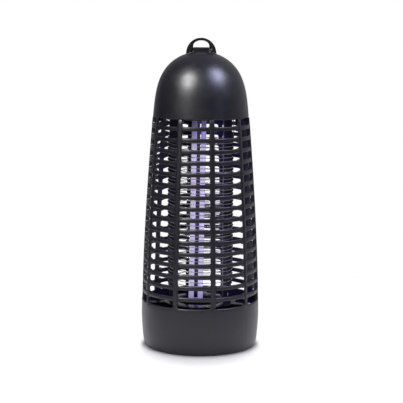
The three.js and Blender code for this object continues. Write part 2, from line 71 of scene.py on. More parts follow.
# The grille: rings between ribs, all turned together. Two ribs at the back have widths of their own.
SKIRT_BOTTOM = CAGE_LOW[2]
DRUM_TOP = 52 * MM
WINDOW_HEIGHT = 7.9 * MM
RING_HEIGHT = 4.2 * MM
RING_COUNT = 16
RING_RECESS = 0.7 * MM
RING_DEPTH = 3.5 * MM
RIB_WIDTH = 5.4 * MM
BACK_RIB = 124.6
WIDE_RIB_WIDTH = 16 * MM
BACK_RIB_WIDTH = 7.2 * MM
RIB_DEPTH = RING_RECESS + RING_DEPTH
GRILLE_TURN = -6.0
SIDE_RIB = 90.0
RIB_ANGLES = sorted(sign * angle for sign in (-1, 1) for angle in (18.3, 55.4, SIDE_RIB, BACK_RIB, 161.7))
FILLET = 1.5 * MM
GRILLE_TOP = DOME_LOW[2]
# Play between mouldings that meet.
GAP = 0.3 * MM

COLLAR_OUTER = 48.6 * MM
COLLAR_INNER = 45.6 * MM
COLLAR_TOP = CAGE_HIGH[2]

GRID_RADIUS = 35.2 * MM
WIRE_RADIUS = 0.45 * MM
WIRE_PITCH = 7.8 * MM
POST_ANGLES = (98, 188, 278)
PIVOT_HEIGHT = sum(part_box("loop_pin")[i][2] for i in (0, 1)) / 2
EYE_RADIUS = LOOP_HIGH[1]
FOOT_CLEARANCE = 0.08 * MM
KNUCKLE_HALF = 8.3 * MM


def skin_radius(height):
    """Radius of the outer skin: a drum that widens to its shoulder, then a long taper."""
    if height < SHOULDER_HEIGHT:
        below = 1 - height / SHOULDER_HEIGHT
        return SHOULDER_RADIUS - (SHOULDER_RADIUS - FOOT_RADIUS) * below * below
    along = (height - SHOULDER_HEIGHT) / TAPER_SPAN
    return SHOULDER_RADIUS - TAPER_LOSS * along ** TAPER_POWER


def spot(radius, angle, height=0.0):
    phase = math.radians(angle)
    return Vector((radius * math.sin(phase), -radius * math.cos(phase), height))


# ---- camera -------------------------------------------------------------------------------------

def add_camera():
    """A long lens in front of the lantern, level with its loop and tipped slightly down."""
    distance, height = 1.3749, 0.3526
    pitch, roll = 7.99, 0.27
    data = bpy.data.cameras.new("camera")
    data.sensor_width = 36.0
    data.lens = 112.4129
    data.shift_x = 0.0025
    camera = bpy.data.objects.new("camera", data)
    camera.location = (0, -distance, height)
    tip = Matrix.Rotation(math.radians(90 - pitch), 4, "X")
    camera.rotation_euler = (tip @ Matrix.Rotation(math.radians(roll), 4, "Z")).to_euler()
    bpy.context.scene.collection.objects.link(camera)
    bpy.context.scene.camera = camera


# ---- node helpers -------------------------------------------------------------------------------

class Nodes:
    """A material's node tree, with short calls to add and join nodes."""

    def __init__(self, name):
        self.material = bpy.data.materials.new(name)
        self.material.use_nodes = True
        self.tree = self.material.node_tree
        self.shader = self.tree.nodes["Principled BSDF"]
        self.place = self.add("ShaderNodeTexCoord").outputs["Object"]

    def add(self, kind):
        return self.tree.nodes.new(kind)

    def link(self, output, target):
        self.tree.links.new(output, target)

    def set(self, **values):
        for key, value in values.items():
            self.shader.inputs[key.replace("_", " ")].default_value = value

    def noise(self, scale, detail=3.0, roughness=0.55, place=None):
        node = self.add("ShaderNodeTexNoise")
        node.inputs["Scale"].default_value = scale
        node.inputs["Detail"].default_value = detail
        node.inputs["Roughness"].default_value = roughness
        self.link(place or self.place, node.inputs["Vector"])
        return node.outputs["Fac"]

    def ramp(self, source, stops):
        node = self.add("ShaderNodeValToRGB")
        elements = node.color_ramp.elements
        while len(elements) < len(stops):
            elements.new(0.5)
        for element, (position, color) in zip(elements, stops):
            element.position = position
            element.color = (*color, 1)
        self.link(source, node.inputs["Fac"])
        return node.outputs["Color"]

    def spread(self, source, low, high, out_low, out_high):
        node = self.add("ShaderNodeMapRange")
        limits = {"From Min": low, "From Max": high, "To Min": out_low, "To Max": out_high}
        for key, value in limits.items():
            node.inputs[key].default_value = value
        self.link(source, node.inputs["Value"])
        return node.outputs["Result"]

    def bump(self, height, strength, distance, below=None):
        node = self.add("ShaderNodeBump")
        node.inputs["Strength"].default_value = strength
        node.inputs["Distance"].default_value = distance
        self.link(height, node.inputs["Height"])
        if below:
            self.link(below, node.inputs["Normal"])
        return node.outputs["Normal"]


def moulded_plastic(name, dark, light, rough, grain=0.12, shine=0.5):
    """Satin moulded plastic: spark-eroded grain, slow colour drift, and faint rubbed patches."""
    n = Nodes(name)
    drift = n.noise(28.0, 4.0)
    n.link(n.ramp(drift, [(0.3, dark), (0.7, light)]), n.shader.inputs["Base Color"])
    rub = n.noise(60.0, 5.0, 0.65)
    n.link(n.spread(rub, 0.3, 0.75, rough - 0.05, rough + 0.07), n.shader.inputs["Roughness"])
    fine = n.noise(2600.0, 2.0)
    wave = n.noise(45.0, 1.0)
    soft = n.bump(wave, 0.06, 0.6 * MM)
    n.link(n.bump(fine, grain, 0.12 * MM, soft), n.shader.inputs["Normal"])
    n.set(IOR=1.5, Specular_IOR_Level=shine)
    return n.material


def drawn_steel(name, tint, rough=0.28, streak=900.0, metal=1.0):
    """Metal with fine drawn streaks and dull patches."""
    n = Nodes(name)
    stretched = n.add("ShaderNodeMapping")
    stretched.inputs["Scale"].default_value = (1.0, 1.0, 0.08)
    n.link(n.place, stretched.inputs["Vector"])
    lines = n.noise(streak, 3.0, place=stretched.outputs["Vector"])
    dull = n.noise(120.0, 4.0)
    dark = tuple(0.72 * c for c in tint)
    n.link(n.ramp(dull, [(0.35, dark), (0.65, tint)]), n.shader.inputs["Base Color"])
    n.link(n.spread(lines, 0.3, 0.7, rough - 0.08, rough + 0.12), n.shader.inputs["Roughness"])
    n.link(n.bump(lines, 0.1, 0.05 * MM), n.shader.inputs["Normal"])
    n.set(Metallic=metal)
    return n.material


def lamp_glass():
    """Phosphor-coated glass, lit: dim and violet at the electrodes, bright along the limbs."""
    n = Nodes("lamp_glass")
    low, high = (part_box("uv_lamp")[i][2] for i in (0, 1))
    split = n.add("ShaderNodeSeparateXYZ")
    n.link(n.place, split.inputs["Vector"])
    along = n.spread(split.outputs["Z"], low, high, 0.0, 1.0)
    cloud = n.noise(240.0, 4.0)
    wobble = n.add("ShaderNodeMath")
    wobble.operation = "MULTIPLY_ADD"
    wobble.inputs[1].default_value = 0.03
    n.link(cloud, wobble.inputs[0])
    n.link(along, wobble.inputs[2])
    glow = n.ramp(wobble.outputs[0], [
        (0.00, (0.22, 0.19, 0.42)),
        (0.05, (0.36, 0.32, 0.56)),
        (0.12, (0.60, 0.55, 0.79)),
        (0.83, (0.60, 0.55, 0.79)),
        (0.90, (0.27, 0.24, 0.40)),
        (0.97, (0.08, 0.07, 0.13)),
    ])
    n.link(glow, n.shader.inputs["Emission Color"])
    coating = n.ramp(cloud, [(0.3, (0.010, 0.009, 0.014)), (0.7, (0.015, 0.014, 0.020))])
    n.link(coating, n.shader.inputs["Base Color"])
    n.link(n.spread(cloud, 0.3, 0.7, 0.10, 0.2), n.shader.inputs["Roughness"])
    n.set(Emission_Strength=0.88, Coat_Weight=0.6, Coat_Roughness=0.06)
    return n.material


def board_laminate():
    """Green laminate with the glass cloth's weave under its lacquer."""
    n = Nodes("board_laminate")
    weave = n.add("ShaderNodeTexVoronoi")
    weave.inputs["Scale"].default_value = 1400.0
    n.link(n.place, weave.inputs["Vector"])
    cloth = weave.outputs["Distance"]
    shades = n.ramp(cloth, [(0.2, (0.012, 0.09, 0.035)), (0.8, (0.03, 0.17, 0.07))])
    n.link(shades, n.shader.inputs["Base Color"])
    n.link(n.spread(n.noise(90.0), 0.3, 0.7, 0.3, 0.5), n.shader.inputs["Roughness"])
    n.link(n.bump(cloth, 0.1, 0.05 * MM), n.shader.inputs["Normal"])
    return n.material


def make_materials():
    """Every material by its key. Each plastic has a dark and a light shade, then its roughness."""
    plastics = {
        "charcoal": ("charcoal_abs", (0.0062, 0.0056, 0.0112), (0.0092, 0.0084, 0.0160), 0.38),
        "black": ("black_moulding", (0.006, 0.006, 0.008), (0.011, 0.011, 0.014), 0.34),
        # Painted shade: the knuckle is moulded with the dome, but its black is made darker than the dome's
        # to stand for the shadow it sits in.
        "dull": ("shade_darkened_black", (0.002, 0.002, 0.003), (0.004, 0.004, 0.006), 0.6, 0.12, 0.12),
        "gloss_black": ("glossy_black", (0.004, 0.004, 0.005), (0.008, 0.008, 0.01), 0.18, 0.04),
        "insulator": ("insulator_black", (0.008, 0.008, 0.011), (0.014, 0.014, 0.018), 0.3),
        "white": ("white_ceramic_plastic", (0.55, 0.54, 0.5), (0.66, 0.65, 0.61), 0.42),
        "film": ("dipped_resin", (0.30, 0.05, 0.025), (0.40, 0.08, 0.04), 0.25),
        "ferrite": ("sintered_ferrite", (0.03, 0.03, 0.034), (0.055, 0.055, 0.06), 0.7, 0.4),
    }
    materials = {key: moulded_plastic(*values) for key, values in plastics.items()}
    materials |= {
        "zinc": drawn_steel("zinc_plate", (0.86, 0.86, 0.86), 0.3, metal=0.45),
        "steel": drawn_steel("drawn_steel", (0.62, 0.62, 0.66)),
        "screw": drawn_steel("zinc_screw", (0.55, 0.56, 0.6), 0.32, 1500.0),
        "copper": drawn_steel("enamelled_copper", (0.65, 0.27, 0.12), 0.3, 2200.0),
        "board": board_laminate(),
        "lamp": lamp_glass(),
    }
    return materials


# ---- mesh helpers -------------------------------------------------------------------------------

def finish_mesh(name, bm, material, body, node, sharp=32.0):
    """Turns a bmesh into a piece that rides on a body and stands for a CAD node."""
    bmesh.ops.recalc_face_normals(bm, faces=bm.faces)
    mesh = bpy.data.meshes.new(name)
    bm.to_mesh(mesh)
    bm.free()
    mesh.materials.append(material)
    for polygon in mesh.polygons:
        polygon.use_smooth = True
    mesh.set_sharp_from_angle(angle=math.radians(sharp))
    piece = bpy.data.objects.new(name, mesh)
    bpy.context.scene.collection.objects.link(piece)
    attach(piece, body)
    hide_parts(node)
    return piece


def soften(piece, width, segments, angle):
    """Rounds those edges of a piece that turn by more than an angle."""
    edges = piece.modifiers.new("edges", "BEVEL")
    edges.width = width
    edges.segments = segments
    edges.limit_method = "ANGLE"
    edges.angle_limit = math.radians(angle)


def loft(bm, sections, closed):
    """Skins a list of rings of points with quads. Closed joins the last ring to the first."""
    rings = [[bm.verts.new(point) for point in section] for section in sections]
    count = len(rings[0])
    pairs = list(zip(rings, rings[1:]))
    if closed:
        pairs.append((rings[-1], rings[0]))
    for lower, upper in pairs:
        for i in range(count):
            j = (i + 1) % count
            bm.faces.new((lower[i], lower[j], upper[j], upper[i]))
    if not closed:
        bm.faces.new(rings[0][::-1])
        bm.faces.new(rings[-1])


def spin(bm, outline, segments):
    """Spins a closed (radius, height) outline about the upright axis. Points on the axis become poles."""
    columns = []
    poles = {}
    for i, (radius, height) in enumerate(outline):
        if radius == 0:
            poles[i] = bm.verts.new((0, 0, height))
    for s in range(segments):
        phase = 2 * math.pi * s / segments
        column = []
        for i, (radius, height) in enumerate(outline):
            if i in poles:
                column.append(poles[i])
            else:
                column.append(bm.verts.new((radius * math.sin(phase), -radius * math.cos(phase), height)))
        columns.append(column)
    count = len(outline)
    for s in range(segments):
        here, there = columns[s], columns[(s + 1) % segments]
        for i in range(count):
            j = (i + 1) % count
            corners = []
            for vert in (here[i], there[i], there[j], here[j]):
                if vert not in corners:
                    corners.append(vert)
            if len(corners) > 2:
                bm.faces.new(corners)


def rounded(points, radii, steps):
    """Rounds the corners of a closed (a, b) outline. radii holds one radius for each corner."""
    result = []
    count = len(points)
    for i, (corner, radius) in enumerate(zip(points, radii)):
        here = Vector(corner)
        if radius <= 0:
            result.append(tuple(here))
            continue
        back = (Vector(points[i - 1]) - here).normalized()
        ahead = (Vector(points[(i + 1) % count]) - here).normalized()
        half = back.angle(ahead) / 2
        reach = radius / math.tan(half)
        start, end = here + back * reach, here + ahead * reach
        middle = here + (back + ahead).normalized() * (radius / math.sin(half))
        a, b = start - middle, end - middle
        sweep = a.angle(b)
        for k in range(steps + 1):
            t = k / steps
            mix = (a * math.sin((1 - t) * sweep) + b * math.sin(t * sweep)) / math.sin(sweep)
            result.append(tuple(middle + mix))
    return result


def band(inner, outer, bottom, top, edge, steps):
    """Section of a plain ring with rounded edges."""
    corners = [(inner, bottom), (outer, bottom), (outer, top), (inner, top)]
    return rounded(corners, [edge] * 4, steps)


def rounded_box_mesh(size, center, radius, steps=3):
    """A box with all its edges rounded."""
    bm = bmesh.new()
    bmesh.ops.create_cube(bm, size=1.0)
    for vert in bm.verts:
        vert.co = Vector(center) + Vector([c * s for c, s in zip(vert.co, size)])
    bmesh.ops.bevel(bm, geom=list(bm.edges), offset=radius, segments=steps, profile=0.5, affect="EDGES")
    return bm


def add_into(target, source, matrix=None):
    """Copies one bmesh into another, moved by a matrix."""
    mesh = bpy.data.meshes.new("part")
    source.to_mesh(mesh)
    source.free()
    if matrix:
        mesh.transform(matrix)
    target.from_mesh(mesh)
    bpy.data.meshes.remove(mesh)


def combine(base, other, operation):
    """Boolean of two bmeshes, which it uses up, as a new one."""
    holders = []
    for bm in (base, other):
        bmesh.ops.recalc_face_normals(bm, faces=bm.faces)
        mesh = bpy.data.meshes.new("operand")
        bm.to_mesh(mesh)
        bm.free()
        holder = bpy.data.objects.new("operand", mesh)
        bpy.context.scene.collection.objects.link(holder)
        holders.append(holder)
    cut = holders[0].modifiers.new("cut", "BOOLEAN")
    cut.operation = operation
    cut.solver = "MANIFOLD"
    cut.object = holders[1]
    graph = bpy.context.evaluated_depsgraph_get()
    result = bmesh.new()
    result.from_object(holders[0], graph)
    for holder in holders:
        mesh = holder.data
        bpy.data.objects.remove(holder)
        bpy.data.meshes.remove(mesh)
    return result


def turned(bm, angle):
    """Turns a piece made on the +X side round to an angle counted from the front."""
    turn = Matrix.Rotation(math.radians(angle - 90), 3, "Z")
    bmesh.ops.rotate(bm, verts=bm.verts, cent=(0, 0, 0), matrix=turn)
    return bm


def tube(bm, points, radii, sides):
    """A round tube along a list of points, each with its radius. Its section is carried without twist."""
    sections = []
    normal = None
    for i, (point, radius) in enumerate(zip(points, radii)):
        ahead = points[min(i + 1, len(points) - 1)] - points[max(i - 1, 0)]
        ahead.normalize()
        if normal is None:
            normal = ahead.orthogonal().normalized()
        else:
            normal = (normal - ahead * normal.dot(ahead)).normalized()
        side = ahead.cross(normal)
        section = []
        for k in range(sides):
            phase = 2 * math.pi * k / sides
            section.append(point + (normal * math.cos(phase) + side * math.sin(phase)) * radius)
        sections.append(section)
    loft(bm, sections, closed=False)


def cylinder_mesh(radius, start, end, sides=24):
    bm = bmesh.new()
    tube(bm, [Vector(start), Vector(end)], [radius] * 2, sides)
    return bm


def block(bm, size, center, angle, radius=0.5 * MM):
    add_into(bm, turned(rounded_box_mesh(size, center, radius, 2), angle))


# ---- grille body --------------------------------------------------------------------------------

def rib_width(angle):
    return {BACK_RIB: WIDE_RIB_WIDTH, -BACK_RIB: BACK_RIB_WIDTH}.get(angle, RIB_WIDTH)


def rib_corners(angle, outer, inner):
    """Corners of a rib's section, counted from the grille's own front.

    Its sides run along the mould's draw, so only a side rib's are square to the skin.
    """
    half = math.degrees(rib_width(angle) / 2 / outer)
    left, right = spot(outer, angle - half), spot(outer, angle + half)
    ends = []
    for corner in (right, left):
        if abs(angle) == SIDE_RIB:
            ends.append(Vector((corner.x * inner / outer, corner.y, 0)))
        else:
            reach = math.sqrt(inner ** 2 - corner.x ** 2)
            ends.append(Vector((corner.x, math.copysign(reach, corner.y), 0)))
    return [left, right, *ends]


def bearing(point):
    return math.degrees(math.atan2(point.x, -point.y))


def arc_between(start, end, radius, step=4 * MM):
    """Points on the arc between two corners of a rib, where it is wide enough to need them."""
    first, last = bearing(start), bearing(end)
    count = round((end - start).length / step)
    return [spot(radius, first + (last - first) * k / count) for k in range(1, count)]


def arc_gap(angle, start, end, radius):
    """Distance from an angle inside a bay to the nearer of the bay's two sides."""
    return max(0.0, math.radians(min((angle - start) % 360, (end - angle) % 360)) * radius)


def bay_angles(radius):
    """Angles round the body, closer together next to the ribs.

    Each comes with its distance from the nearest rib's side, at the outer and the inner edge of a ring.
    """
    inner = radius - RING_DEPTH
    shares = [0.0, 0.12, 0.3, 0.6, 1.0]
    plain = 7
    result = []
    for here, there in zip(RIB_ANGLES, RIB_ANGLES[1:] + RIB_ANGLES[:1]):
        left, right = rib_corners(here, radius, inner), rib_corners(there, radius, inner)
        start, end = bearing(left[1]), bearing(right[0])
        inner_start, inner_end = bearing(left[2]), bearing(right[3])
        span = (end - start) % 360
        reach = math.degrees(FILLET / radius)
        local = [reach * t for t in shares]
        local += [reach + (span - 2 * reach) * k / plain for k in range(1, plain)]
        local += [span - reach * t for t in reversed(shares)]
        for step in local:
            angle = start + step
            inside = (angle - inner_start) % 360 < (inner_end - inner_start) % 360
            gap = arc_gap(angle, inner_start, inner_end, inner) if inside else 0.0
            result.append((angle + GRILLE_TURN, arc_gap(angle, start, end, radius), gap))
    return result


def flare(distance):
    """How far a ring's edge has spread towards its neighbour at a distance from a rib's side."""
    if distance >= FILLET:
        return 0.0
    return FILLET - math.sqrt(FILLET ** 2 - (FILLET - distance) ** 2)


def ring_mesh(bm, bottom):
    """One ring of the grille: rounded edges, and fillets into the ribs."""
    top = bottom + RING_HEIGHT
    outer = skin_radius((bottom + top) / 2) - RING_RECESS
    inner = outer - RING_DEPTH
    lean = skin_radius(bottom) - skin_radius(top)
    inner_edge, outer_edge = 0.4 * MM, 0.75 * MM
    sections = []
    for angle, distance, inner_distance in bay_angles(outer):
        spread, inner_spread = flare(distance), flare(inner_distance)
        corners = [
            (inner, bottom - inner_spread), (outer + lean / 2, bottom - spread),
            (outer - lean / 2, top + spread), (inner, top + inner_spread),
        ]
        outline = rounded(corners, [inner_edge, outer_edge, outer_edge, inner_edge], 3)
        sections.append([spot(radius, angle, height) for radius, height in outline])
    loft(bm, sections, closed=True)


def drum_mesh(bm):
    """The smooth drum, whose top edge rises to meet the ribs."""
    edge, lip, chamfer, small = 2.2 * MM, 1.0 * MM, 0.4 * MM, 0.2 * MM
    flat = 0.8
    rows, arc_steps = 14, 5
    span = DRUM_TOP - lip - SKIRT_BOTTOM - edge
    heights = [SKIRT_BOTTOM + edge + span * k / rows for k in range(rows + 1)]
    arc = [k / arc_steps * math.pi / 2 for k in range(arc_steps + 1)]
    foot, rim = skin_radius(SKIRT_BOTTOM), skin_radius(DRUM_TOP)
    lower = [(foot - WALL, SKIRT_BOTTOM + small), (foot - WALL + small, SKIRT_BOTTOM)]
    for a in arc:
        lower.append((foot - edge * flat * (1 - math.sin(a)), SKIRT_BOTTOM + edge * (1 - math.cos(a))))
    lower += [(skin_radius(height), height) for height in heights[1:-1]]
    inside = [(skin_radius(height) - WALL, height) for height in reversed(heights[2:-1:3])]
    sections = []
    for angle, distance, _ in bay_angles(SHOULDER_RADIUS):
        top = DRUM_TOP + flare(distance)
        upper = [(rim - lip * (1 - math.cos(a)), top - lip * (1 - math.sin(a))) for a in arc]
        upper += [(rim - WALL + chamfer, top), (rim - WALL, top - chamfer)]
        sections.append([spot(radius, angle, height) for radius, height in lower + upper + inside])
    loft(bm, sections, closed=True)


def rib_mesh(angle):
    """One upright rib: a rounded bar that follows the skin and sinks into the drum."""
    root, sink_depth, sink_length = 6 * MM, 0.9 * MM, 8 * MM
    outer_edge, inner_edge, end_edge, end_share = 1.2 * MM, 0.5 * MM, 0.5 * MM, 0.86
    low, high = DRUM_TOP - root, GRILLE_TOP - GAP
    steps = 40
    sections = []
    for k in range(steps + 1):
        height = low + (high - low) * k / steps
        sink = sink_depth * max(0.0, 1 - (height - low) / sink_length) ** 2
        outer, inner = skin_radius(height) - sink, skin_radius(height) - RIB_DEPTH
        left, right, inner_right, inner_left = rib_corners(angle, outer, inner)
        faces = (left, right, outer, outer_edge), (inner_right, inner_left, inner, inner_edge)
        points, radii = [], []
        for start, end, radius, edge in faces:
            between = arc_between(start, end, radius)
            points += [start.xy, *[point.xy for point in between], end.xy]
            radii += [edge, *[0] * len(between), edge]
        sections.append([Vector((x, y, height)) for x, y in rounded(points, radii, 4)])
    last = sections[-1]
    middle = sum(last, Vector()) / len(last)
    cap = [middle + (point - middle) * end_share for point in last]
    for point in last:
        point.z -= end_edge
    for point in cap:
        point.z = high
    bm = bmesh.new()
    loft(bm, [*sections, cap], closed=False)
    turn = Matrix.Rotation(math.radians(GRILLE_TURN), 3, "Z")
    bmesh.ops.rotate(bm, verts=bm.verts, cent=(0, 0, 0), matrix=turn)
    return bm


def tongue_mesh(angle):
    """Gusset that ties the top of a rib to the collar inside the dome."""
    depth, overlap, edge = 4 * MM, 1 * MM, 0.3 * MM
    reach = COLLAR_OUTER + overlap
    corners = rib_corners(angle, skin_radius(GRILLE_TOP), reach)
    middle = bearing((corners[2] + corners[3]) / 2) + GRILLE_TURN
    inner, low = COLLAR_INNER + GAP, GRILLE_TOP - depth
    pieces = []
    for outer, high in ((COLLAR_OUTER - GAP, COLLAR_TOP - overlap), (reach + overlap, GRILLE_TOP - GAP)):
        size = (outer - inner, RIB_WIDTH - overlap, high - low)
        pieces.append(rounded_box_mesh(size, ((outer + inner) / 2, 0, (high + low) / 2), edge, 2))
    return turned(combine(*pieces, "UNION"), middle)


BOSS_ANGLES = tuple(angle + GRILLE_TURN for angle in (72.7, 180, 287.3))
BOSS_SIZE, BOSS_RADIUS = (9.6 * MM, 8 * MM, 7 * MM), 58.8 * MM
LUG_ANGLES = (45, 135, 225, 315)
LUG_SIZE, LUG_RADIUS = (11 * MM, 9 * MM, 3 * MM), 42 * MM
SPIDER_BOTTOM, SPIDER_TOP = (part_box("grid_spider")[i][2] for i in (0, 1))


def build_cage(materials):
    """Drum, rings and ribs as one moulding, with the collar, lugs and bosses that it is screwed by."""
    rings = bmesh.new()
    drum_mesh(rings)
    for i in range(RING_COUNT):
        ring_mesh(rings, DRUM_TOP + WINDOW_HEIGHT + i * (WINDOW_HEIGHT + RING_HEIGHT))
    spin(rings, band(COLLAR_INNER, COLLAR_OUTER, GRILLE_TOP - 1.2 * MM, COLLAR_TOP, 0.3 * MM, 2), 120)
    ribs = bmesh.new()
    fixings = bmesh.new()
    for angle in RIB_ANGLES:
        add_into(ribs, rib_mesh(angle))
        add_into(fixings, tongue_mesh(angle))
    for angle in LUG_ANGLES:
        block(fixings, LUG_SIZE, (LUG_RADIUS, 0, COLLAR_TOP - LUG_SIZE[2] / 2), angle)
    for angle in BOSS_ANGLES:
        block(fixings, BOSS_SIZE, (BOSS_RADIUS, 0, SPIDER_BOTTOM - GAP - BOSS_SIZE[2] / 2), angle)
    body = combine(rings, ribs, "UNION")
    body = combine(body, fixings, "UNION")
    finish_mesh("grille_body", body, materials["charcoal"], LANTERN, "outer_cage")


# ---- domed cover --------------------------------------------------------------------------------

CROWN_START = 262 * MM
DOME_SEGMENTS = 144
SWITCH_HEIGHT, INLET_HEIGHT = 286 * MM, 268 * MM


def dome_radius(height, inset=RING_RECESS):
    """Radius of the dome at a height, sunk under the skin by an inset: drawn in towards the crown."""
    up = min(1.0, max(0.0, (height - DOME_START) / (DOME_TOP - DOME_START)))
    return (skin_radius(height) - inset) * math.sqrt(1 - up ** DOME_POWER)


def crown_outline(inset, steps):
    """The dome's section round the crown, up to its pole."""
    top = DOME_TOP - max(0.0, inset - RING_RECESS)
    outline = []
    for i in range(1, steps):
        phase = i / steps * math.pi / 2
        height = DOME_START + (top - DOME_START) * math.sin(phase) ** (2 / DOME_POWER)
        outline.append(((skin_radius(height) - inset) * math.cos(phase), height))
    return [*outline, (0.0, top)]


def straight_part(inset, start, end, steps):
    """Points on the dome's section below where the crown's curve is taken up."""
    heights = [start + (end - start) * k / steps for k in range(steps)]
    return [(dome_radius(height, inset), height) for height in heights]


def crown_height(radius):
    """Height of the dome's skin near the crown, at a distance from the axis."""
    low, high = DOME_START, DOME_TOP
    for _ in range(40):
        middle = (low + high) / 2
        if dome_radius(middle) > radius:
            low = middle
        else:
            high = middle
    return low


def skin_seat(height):
    """Radius and lean, from upright, of the dome's skin at a height."""
    step = 0.5 * MM
    below, here, above = (dome_radius(z) for z in (height - step, height, height + step))
    return here, math.atan2(below - above, 2 * step)


def seat_matrix(height):
    """Carries a piece whose face looks along +Y, at the origin, onto the back of the dome."""
    radius, lean = skin_seat(height)
    return Matrix.Translation((0, radius, height)) @ Matrix.Rotation(lean, 4, "X")


def knuckle_mesh():
    """The block on the crown that the loop is hinged to: round over the pin, with a flared foot."""
    half, radius = KNUCKLE_HALF + 0.25 * MM, EYE_RADIUS
    foot = [(0.0, 0.9 * MM), (1.1 * MM, -0.2 * MM), (1.2 * MM, -2.2 * MM)]
    edge, narrowing, drop = 0.5 * MM, 0.12, 0.35 * MM
    arc_steps = 12
    outline = []
    for k in range(arc_steps + 1):
        phase = math.pi * k / arc_steps
        outline.append((radius * math.cos(phase), PIVOT_HEIGHT + radius * math.sin(phase)))
    outline += [(-radius - out, DOME_TOP + up) for out, up in foot]
    outline += [(radius + out, DOME_TOP + up) for out, up in reversed(foot)]
    sections = []
    for x, shrink in ((-half, 1), (-half + edge, 0), (half - edge, 0), (half, 1)):
        section = []
        for y, z in outline:
            section.append(Vector((x, y * (1 - narrowing * shrink), z - drop * shrink * (z > PIVOT_HEIGHT))))
        sections.append(section)
    bm = bmesh.new()
    loft(bm, sections, closed=False)
    return bm


def dome_shell():
    """The moulded shell: its two skins, joined by a rounded rim."""
    lip = 0.7 * MM
    rim, top = skin_radius(GRILLE_TOP) - RING_RECESS, GRILLE_TOP + lip
    corners = [(rim - WALL, top), (rim - WALL, GRILLE_TOP), (rim, GRILLE_TOP), (rim, top)]
    outer = [point for point in crown_outline(RING_RECESS, 34) if point[1] > CROWN_START]
    inner = [point for point in crown_outline(RING_RECESS + WALL, 20) if point[1] > CROWN_START]
    outline = inner[::-1]
    outline += straight_part(RING_RECESS + WALL, top, CROWN_START, 4)[::-1]
    outline += rounded(corners, [0, 0.4 * MM, 0.65 * MM, 0], 4)[1:-1]
    outline += straight_part(RING_RECESS, top, CROWN_START, 6)
    outline += outer
    shell = bmesh.new()
    spin(shell, outline, DOME_SEGMENTS)
    return shell


def dome_openings():
    """Cutters for the switch and the cord inlet."""
    switch = rounded_box_mesh((9.6 * MM, 20 * MM, 14.6 * MM), (0, 0, 0), 0.6 * MM)
    inlet_radius, reach = 4.3 * MM, 8 * MM
    tools = bmesh.new()
    add_into(tools, switch, seat_matrix(SWITCH_HEIGHT))
    inlet = cylinder_mesh(inlet_radius, (0, -reach, 0), (0, reach, 0), 32)
    add_into(tools, inlet, seat_matrix(INLET_HEIGHT))
    return tools


def dome_posts():
    """Four screw posts over the lugs, which end in the thickness of the shell."""
    place, radius, bottom, top = 41 * MM, 4.0 * MM, 263.6 * MM, 292 * MM
    inset, start = RING_RECESS + 1.2 * MM, CROWN_START + 1 * MM
    posts = bmesh.new()
    for angle in LUG_ANGLES:
        x, y, _ = spot(place, angle)
        add_into(posts, cylinder_mesh(radius, (x, y, bottom), (x, y, top), 28))
    outline = [(0.0, CROWN_START), *straight_part(inset, CROWN_START, start, 1)]
    outline += [point for point in crown_outline(inset, 20) if point[1] > start]
    room = bmesh.new()
    spin(room, outline, DOME_SEGMENTS)
    return combine(posts, room, "INTERSECT")


def build_dome(materials):
    body = combine(dome_shell(), dome_openings(), "DIFFERENCE")
    body = combine(body, dome_posts(), "UNION")
    finish_mesh("domed_cover", body, materials["charcoal"], LANTERN, "top_cover", 30.0)
    bore_radius, reach = 1.3 * MM, 20 * MM
    bore = cylinder_mesh(bore_radius, (-reach, 0, PIVOT_HEIGHT), (reach, 0, PIVOT_HEIGHT))
    knuckle = combine(knuckle_mesh(), bore, "DIFFERENCE")
    # The knuckle's darker black is painted shade, not a black of its own.
    finish_mesh("loop_knuckle", knuckle, materials["dull"], LANTERN, "top_cover", 30.0)


# ---- hanging loop and pin -----------------------------------------------------------------------

def loop_envelope(arch_radius):
    """The room that the loop has: all above its pin, and below it what clears the dome as it folds."""
    start, steps = KNUCKLE_HALF - 1 * MM, 10
    places = [start + (arch_radius - start) * k / steps for k in range(steps + 1)]
    reaches = [PIVOT_HEIGHT - crown_height(x) - FOOT_CLEARANCE for x in places]
    room = bmesh.new()
    for side in (-1, 1):
        turning = bmesh.new()
        tube(turning, [Vector((side * x, 0, PIVOT_HEIGHT)) for x in places], reaches, 48)
        add_into(room, turning)
    width, depth, height = 60 * MM, 20 * MM, 30 * MM
    above = rounded_box_mesh((width, depth, height), (0, 0, PIVOT_HEIGHT + height / 2), 0.1 * MM, 1)
    return combine(room, above, "UNION")


